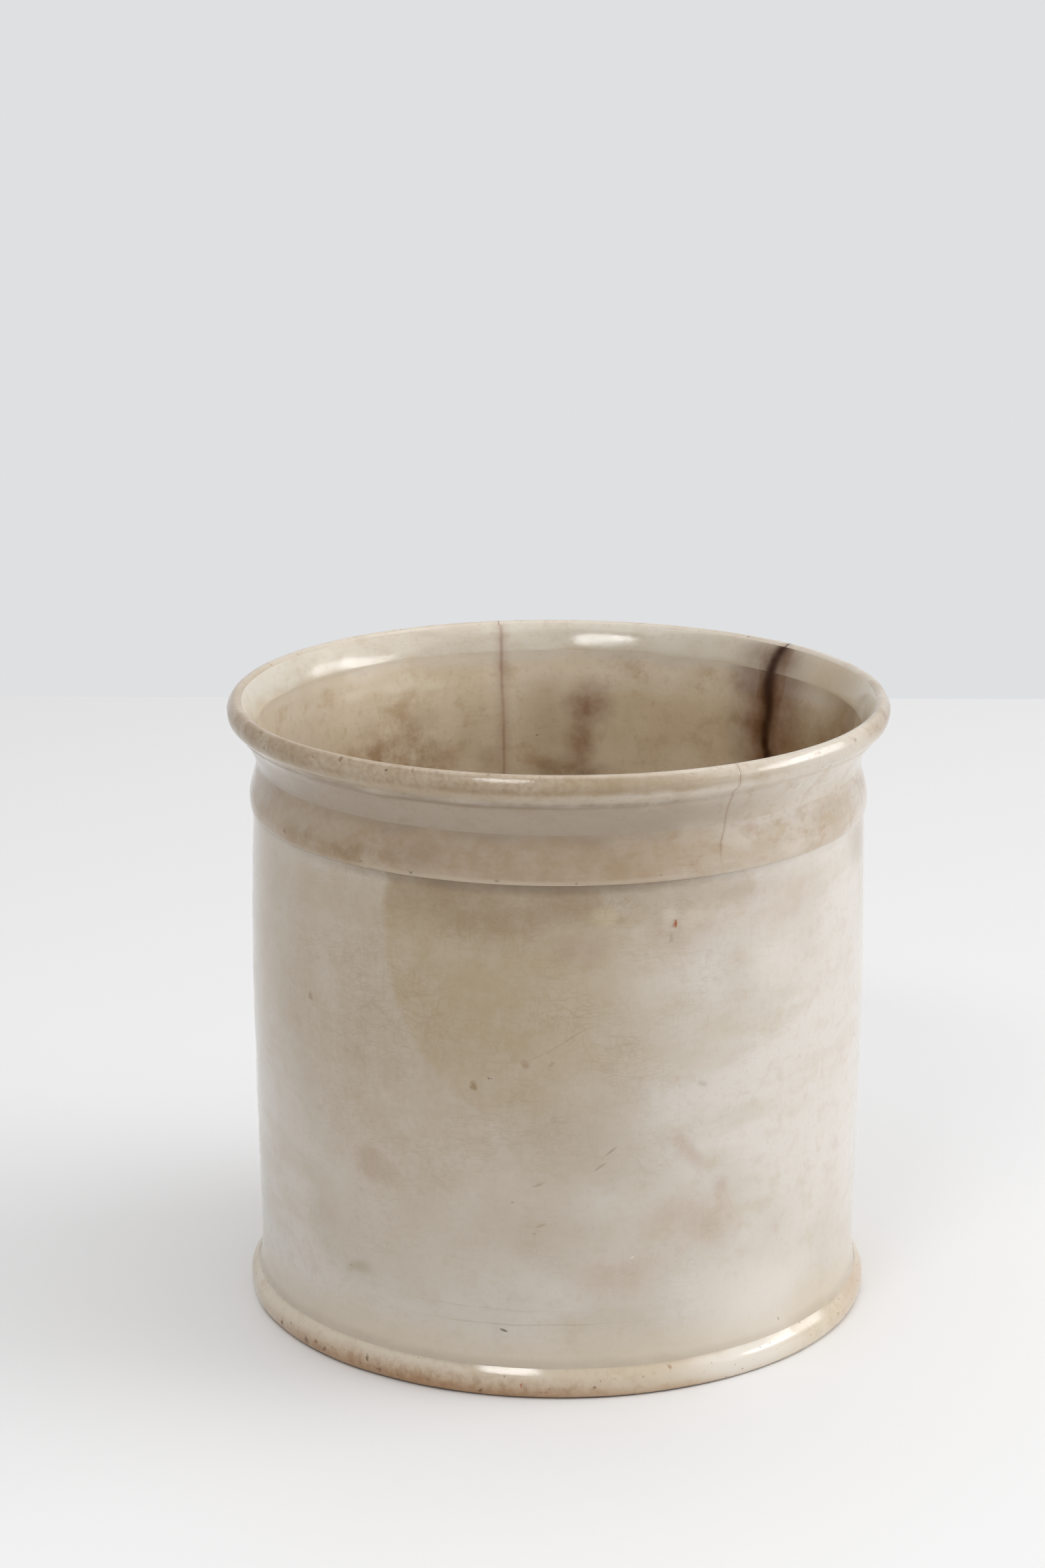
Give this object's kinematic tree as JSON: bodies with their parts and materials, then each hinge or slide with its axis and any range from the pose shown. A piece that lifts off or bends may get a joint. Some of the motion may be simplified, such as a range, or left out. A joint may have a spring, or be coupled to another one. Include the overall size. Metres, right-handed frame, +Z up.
{
  "type": "confit pot",
  "caption": "Straight-sided glazed earthenware confit pot with a rolled rim, a collar band below it and a beaded foot, for storing preserved food or utensils.",
  "frame": {"origin": "centre of the foot's underside, on the pot's axis", "axes": "+Z up along the pot's axis; the pot is round, so +X and +Y are any two square directions, with -Y towards the picture's viewer"},
  "size_m": [0.1598, 0.1598, 0.1498],
  "materials": {
    "floor_glaze": "glossy",
    "wall_glaze": "glossy",
    "foot_glaze": "glossy",
    "collar_glaze": "glossy",
    "rim_glaze": "glossy"
  },
  "bodies": {
    "root": {"pot_floor": "floor_glaze", "pot_wall": "wall_glaze", "foot_ring": "foot_glaze", "collar_band": "collar_glaze", "rolled_rim": "rim_glaze"}
  },
  "joints": []
}
